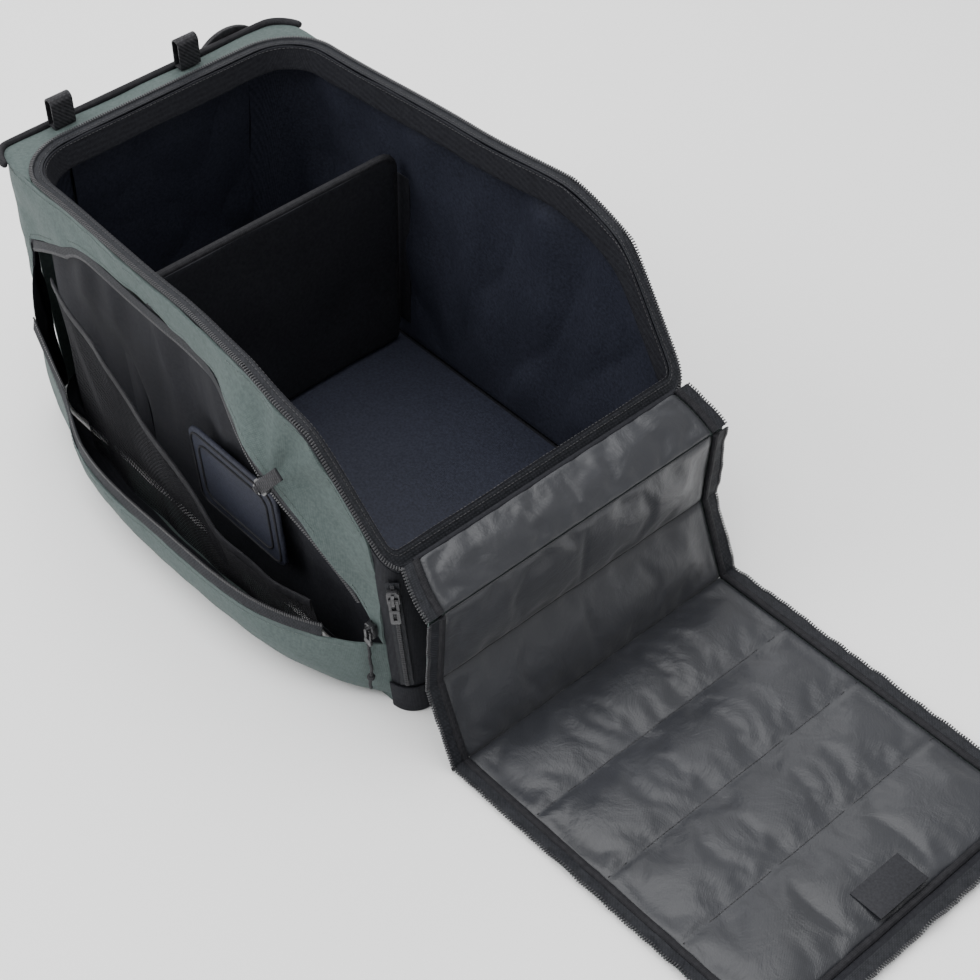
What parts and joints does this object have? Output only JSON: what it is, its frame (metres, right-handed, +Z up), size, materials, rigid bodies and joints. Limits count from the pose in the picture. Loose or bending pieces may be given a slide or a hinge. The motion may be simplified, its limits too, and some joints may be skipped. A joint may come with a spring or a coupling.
{
  "type": "ski boot bag",
  "caption": "Soft ski boot bag lying open on its back: deep lined tub, folding quilted mat lid with zip edge, open side pocket, divider, webbing loops, handle and zip sliders.",
  "frame": {"origin": "centre of the underside of the back pads, which the bag rests on", "axes": "+X towards the boot end where the lid hinges, -Y towards the open side pocket, +Z up out of the bag's mouth"},
  "size_m": [1.0519, 0.4328, 0.3423],
  "materials": {
    "green_cloth": "woven, padded",
    "navy_lining": "woven lining",
    "quilted_satin": "satin, quilted",
    "black_webbing": "webbing",
    "zip_tape": "zip tape with coil",
    "black_plastic": "matte",
    "painted_metal": "satin black",
    "foam_pad": "padded mesh",
    "black_mesh": "open mesh",
    "black_cord": "braided",
    "blank_label": "woven, blank",
    "black_cloth": "woven"
  },
  "bodies": {
    "bag": {"back_panel": "black_cloth", "back_pads": "foam_pad", "shoulder_straps": "foam_pad", "strap_webbing": "black_webbing", "ladderlocks": "black_plastic", "floor_lining": "navy_lining", "near_end_wall": "black_cloth", "far_end_wall": "green_cloth", "far_fascia": "green_cloth", "far_binding": "black_cloth", "side_strip_left": "green_cloth", "side_strip_right": "green_cloth", "pocket_panel_left": "green_cloth", "pocket_panel_right": "green_cloth", "side_lining_left": "navy_lining", "side_lining_right": "navy_lining", "near_end_lining": "navy_lining", "far_end_lining": "navy_lining", "collar_band": "black_cloth", "rim_zip_tape": "zip_tape", "corner_zips": "zip_tape", "base_corners": "black_cloth", "pocket_zip_upper_left": "zip_tape", "pocket_zip_lower_left": "zip_tape", "pocket_zip_right": "zip_tape", "mesh_pocket_left": "black_mesh", "sleeve_pocket_left": "navy_lining", "webbing_loops": "black_webbing", "lid_hinge_fold": "black_cloth", "divider_anchors": "black_cloth"},
    "lid_length_1": {"lid_shell_1": "black_cloth", "lid_mat_1": "quilted_satin", "lid_binding_1": "black_cloth", "lid_zip_1": "zip_tape"},
    "lid_length_2": {"lid_shell_2": "black_cloth", "lid_mat_2": "quilted_satin", "lid_binding_2": "black_cloth", "lid_zip_2": "zip_tape"},
    "lid_length_3": {"lid_shell_3": "black_cloth", "lid_mat_3": "quilted_satin", "lid_binding_3": "black_cloth", "lid_zip_3": "zip_tape"},
    "lid_length_4": {"lid_shell_4": "black_cloth", "lid_mat_4": "quilted_satin", "lid_binding_4": "black_cloth", "lid_zip_4": "zip_tape", "label_patch": "blank_label"},
    "divider": {"divider": "black_cloth"},
    "grab_handle": {"grab_handle": "black_webbing"},
    "main_slider_left": {"main_slider_left": "painted_metal"},
    "main_pull_left": {"main_pull_left": "painted_metal"},
    "main_slider_right": {"main_slider_right": "painted_metal"},
    "main_pull_right": {"main_pull_right": "painted_metal"},
    "pocket_slider_upper_left": {"pocket_slider_upper_left": "painted_metal"},
    "pocket_pull_upper_left": {"pocket_pull_upper_left": "black_webbing"},
    "pocket_slider_lower_left": {"pocket_slider_lower_left": "painted_metal"},
    "pocket_pull_lower_left": {"pocket_pull_lower_left": "painted_metal", "pull_cord_left": "black_cord"},
    "pocket_slider_right": {"pocket_slider_right": "painted_metal"},
    "pocket_pull_right": {"pocket_pull_right": "painted_metal"}
  },
  "joints": [
    {"name": "lid_hinge", "type": "hinge", "parent": "bag", "child": "lid_length_1", "pos_m": [0.2945, 0, 0.199], "axis": [0, -1, 0], "range_deg": [0, 161]},
    {"name": "lid_fold_1", "type": "hinge", "parent": "lid_length_1", "child": "lid_length_2", "pos_m": [0.33643, 0, 0.17177], "axis": [0, -1, 0], "range_deg": [0, 61.5]},
    {"name": "lid_fold_2", "type": "hinge", "parent": "lid_length_2", "child": "lid_length_3", "pos_m": [0.32968, 0, 0.08403], "axis": [0, -1, 0], "range_deg": [0, 9.5]},
    {"name": "lid_fold_3", "type": "hinge", "parent": "lid_length_3", "child": "lid_length_4", "pos_m": [0.36155, 0, 0.002], "axis": [0, -1, 0], "range_deg": [-50.4, 0]},
    {"name": "divider_fold", "type": "hinge", "parent": "bag", "child": "divider", "pos_m": [-0.1, 0, 0.0216], "axis": [0, 1, 0], "range_deg": [0, 88]},
    {"name": "grab_handle_swing", "type": "hinge", "parent": "bag", "child": "grab_handle", "pos_m": [-0.2994, 0.112, 0.28234], "axis": [0, -1, 0], "range_deg": [0, 88]},
    {"name": "main_slider_left_slide", "type": "slide", "parent": "bag", "child": "main_slider_left", "axis": [0, -0.0731, 0.9973], "range_m": [-0.118, 0.004]},
    {"name": "main_pull_left_swing", "type": "hinge", "parent": "main_slider_left", "child": "main_pull_left", "pos_m": [0.29199, -0.17696, 0.16411], "axis": [-0.7071, -0.7052, -0.0517], "range_deg": [0, 120]},
    {"name": "main_slider_right_slide", "type": "slide", "parent": "bag", "child": "main_slider_right", "axis": [0, 0.0731, 0.9973], "range_m": [-0.118, 0.004]},
    {"name": "main_pull_right_swing", "type": "hinge", "parent": "main_slider_right", "child": "main_pull_right", "pos_m": [0.29199, 0.17696, 0.16411], "axis": [0.7071, -0.7052, 0.0517], "range_deg": [0, 120]},
    {"name": "pocket_slider_upper_left_slide", "type": "slide", "parent": "bag", "child": "pocket_slider_upper_left", "axis": [-0.7854, 0, 0.619], "range_m": [-0.03, 0.03]},
    {"name": "pocket_pull_upper_left_swing", "type": "hinge", "parent": "pocket_slider_upper_left", "child": "pocket_pull_upper_left", "pos_m": [0.172, -0.21985, 0.23697], "axis": [0.7854, 0, -0.619], "range_deg": [0, 150]},
    {"name": "pocket_slider_lower_left_slide", "type": "slide", "parent": "bag", "child": "pocket_slider_lower_left", "axis": [-0.4016, -0.1583, 0.902], "range_m": [0, 0.012]},
    {"name": "pocket_pull_lower_left_swing", "type": "hinge", "parent": "pocket_slider_lower_left", "child": "pocket_pull_lower_left", "pos_m": [0.262, -0.18362, 0.10468], "axis": [-1, 0, 0], "range_deg": [0, 110]},
    {"name": "pocket_slider_right_slide", "type": "slide", "parent": "bag", "child": "pocket_slider_right", "axis": [-0.5147, 0.0746, 0.8541], "range_m": [-0.02, 0.03]},
    {"name": "pocket_pull_right_swing", "type": "hinge", "parent": "pocket_slider_right", "child": "pocket_pull_right", "pos_m": [0.23, 0.18982, 0.16842], "axis": [0.8565, 0, 0.5161], "range_deg": [0, 120]}
  ],
  "couplings": [
    {"joint": "lid_fold_2", "follows": "lid_fold_1", "ratio": 0.15447},
    {"joint": "lid_fold_3", "follows": "lid_fold_1", "ratio": -0.81951}
  ]
}
